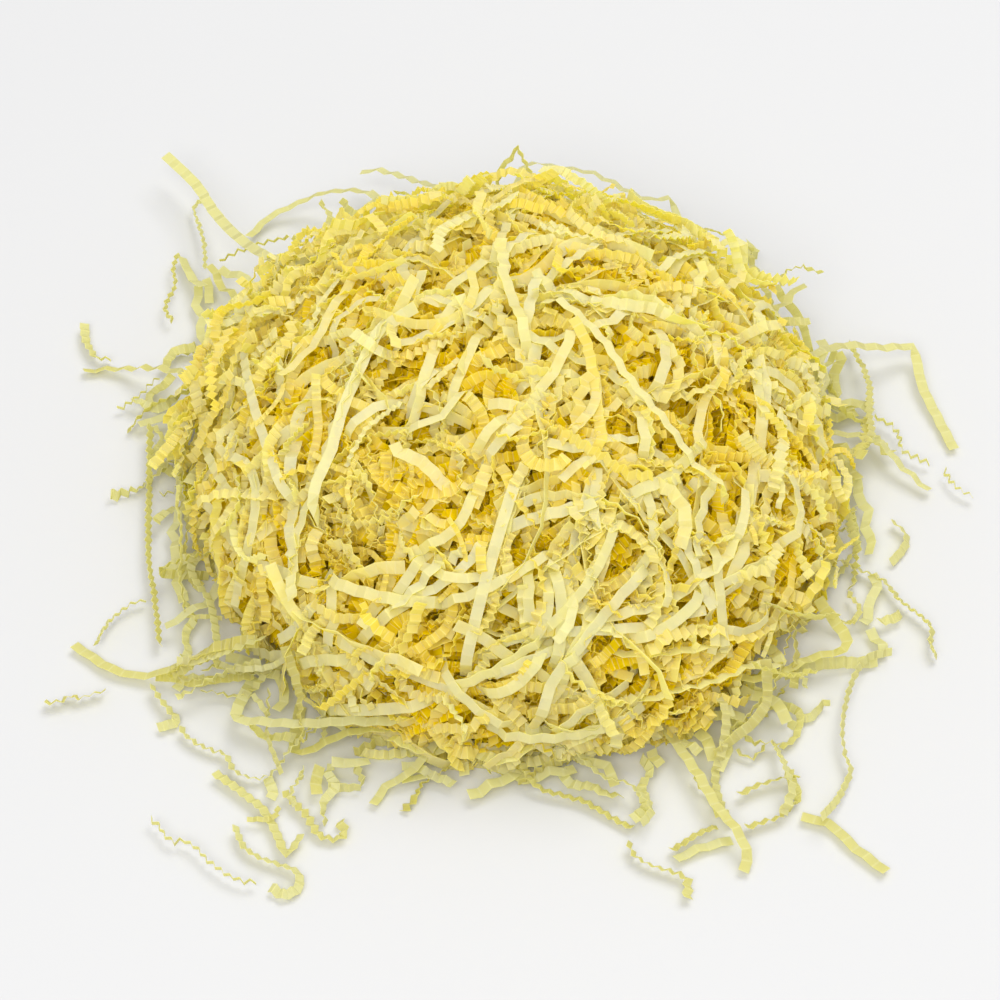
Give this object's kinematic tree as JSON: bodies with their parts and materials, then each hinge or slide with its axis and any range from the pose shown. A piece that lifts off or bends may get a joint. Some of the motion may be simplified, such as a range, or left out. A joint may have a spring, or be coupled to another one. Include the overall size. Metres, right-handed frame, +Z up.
{
  "type": "easter basket filler",
  "caption": "Loose heap of pale yellow crinkle-cut paper shred, a soft domed tangle with free strips trailing on the floor, used to line and pad an Easter basket.",
  "frame": {"origin": "on the floor, under the middle of the heap's overall box", "axes": "+Z up, +X to the right and -Y towards the viewer who looks at the heap from its front"},
  "size_m": [0.2092, 0.2135, 0.0609],
  "materials": {
    "paper_tangle": "matt, deep yellow between the strips",
    "paper_strip": "matt, pale yellow, creased across every few millimetres"
  },
  "bodies": {
    "root": {"strip_back_1": "paper_strip", "strip_back_2": "paper_strip", "strip_back_3": "paper_strip", "strip_back_left_1": "paper_strip", "strip_back_left_2": "paper_strip", "strip_back_left_3": "paper_strip", "strip_back_left_4": "paper_strip", "strip_back_left_5": "paper_strip", "strip_back_left_6": "paper_strip", "strip_crown_1": "paper_strip", "strip_crown_2": "paper_strip", "strip_crown_3": "paper_strip", "strip_crown_4": "paper_strip", "strip_crown_5": "paper_strip", "strip_crown_6": "paper_strip", "strip_crown_7": "paper_strip", "strip_crown_8": "paper_strip", "strip_front_1": "paper_strip", "strip_front_2": "paper_strip", "strip_front_3": "paper_strip", "strip_front_4": "paper_strip", "strip_front_left_1": "paper_strip", "strip_front_left_10": "paper_strip", "strip_front_left_11": "paper_strip", "strip_front_left_12": "paper_strip", "strip_front_left_13": "paper_strip", "strip_front_left_2": "paper_strip", "strip_front_left_3": "paper_strip", "strip_front_left_4": "paper_strip", "strip_front_left_5": "paper_strip", "strip_front_left_6": "paper_strip", "strip_front_left_7": "paper_strip", "strip_front_left_8": "paper_strip", "strip_front_left_9": "paper_strip", "strip_front_right_1": "paper_strip", "strip_front_right_10": "paper_strip", "strip_front_right_11": "paper_strip", "strip_front_right_2": "paper_strip", "strip_front_right_3": "paper_strip", "strip_front_right_4": "paper_strip", "strip_front_right_5": "paper_strip", "strip_front_right_6": "paper_strip", "strip_front_right_7": "paper_strip", "strip_front_right_8": "paper_strip", "strip_front_right_9": "paper_strip", "strip_left_1": "paper_strip", "strip_left_2": "paper_strip", "strip_left_3": "paper_strip", "strip_left_4": "paper_strip", "strip_right_1": "paper_strip", "strip_right_2": "paper_strip", "strip_right_3": "paper_strip", "strip_right_4": "paper_strip", "strip_right_5": "paper_strip", "strip_right_6": "paper_strip", "tangle_lower": "paper_tangle", "tangle_middle": "paper_tangle", "tangle_upper": "paper_tangle"}
  },
  "joints": []
}
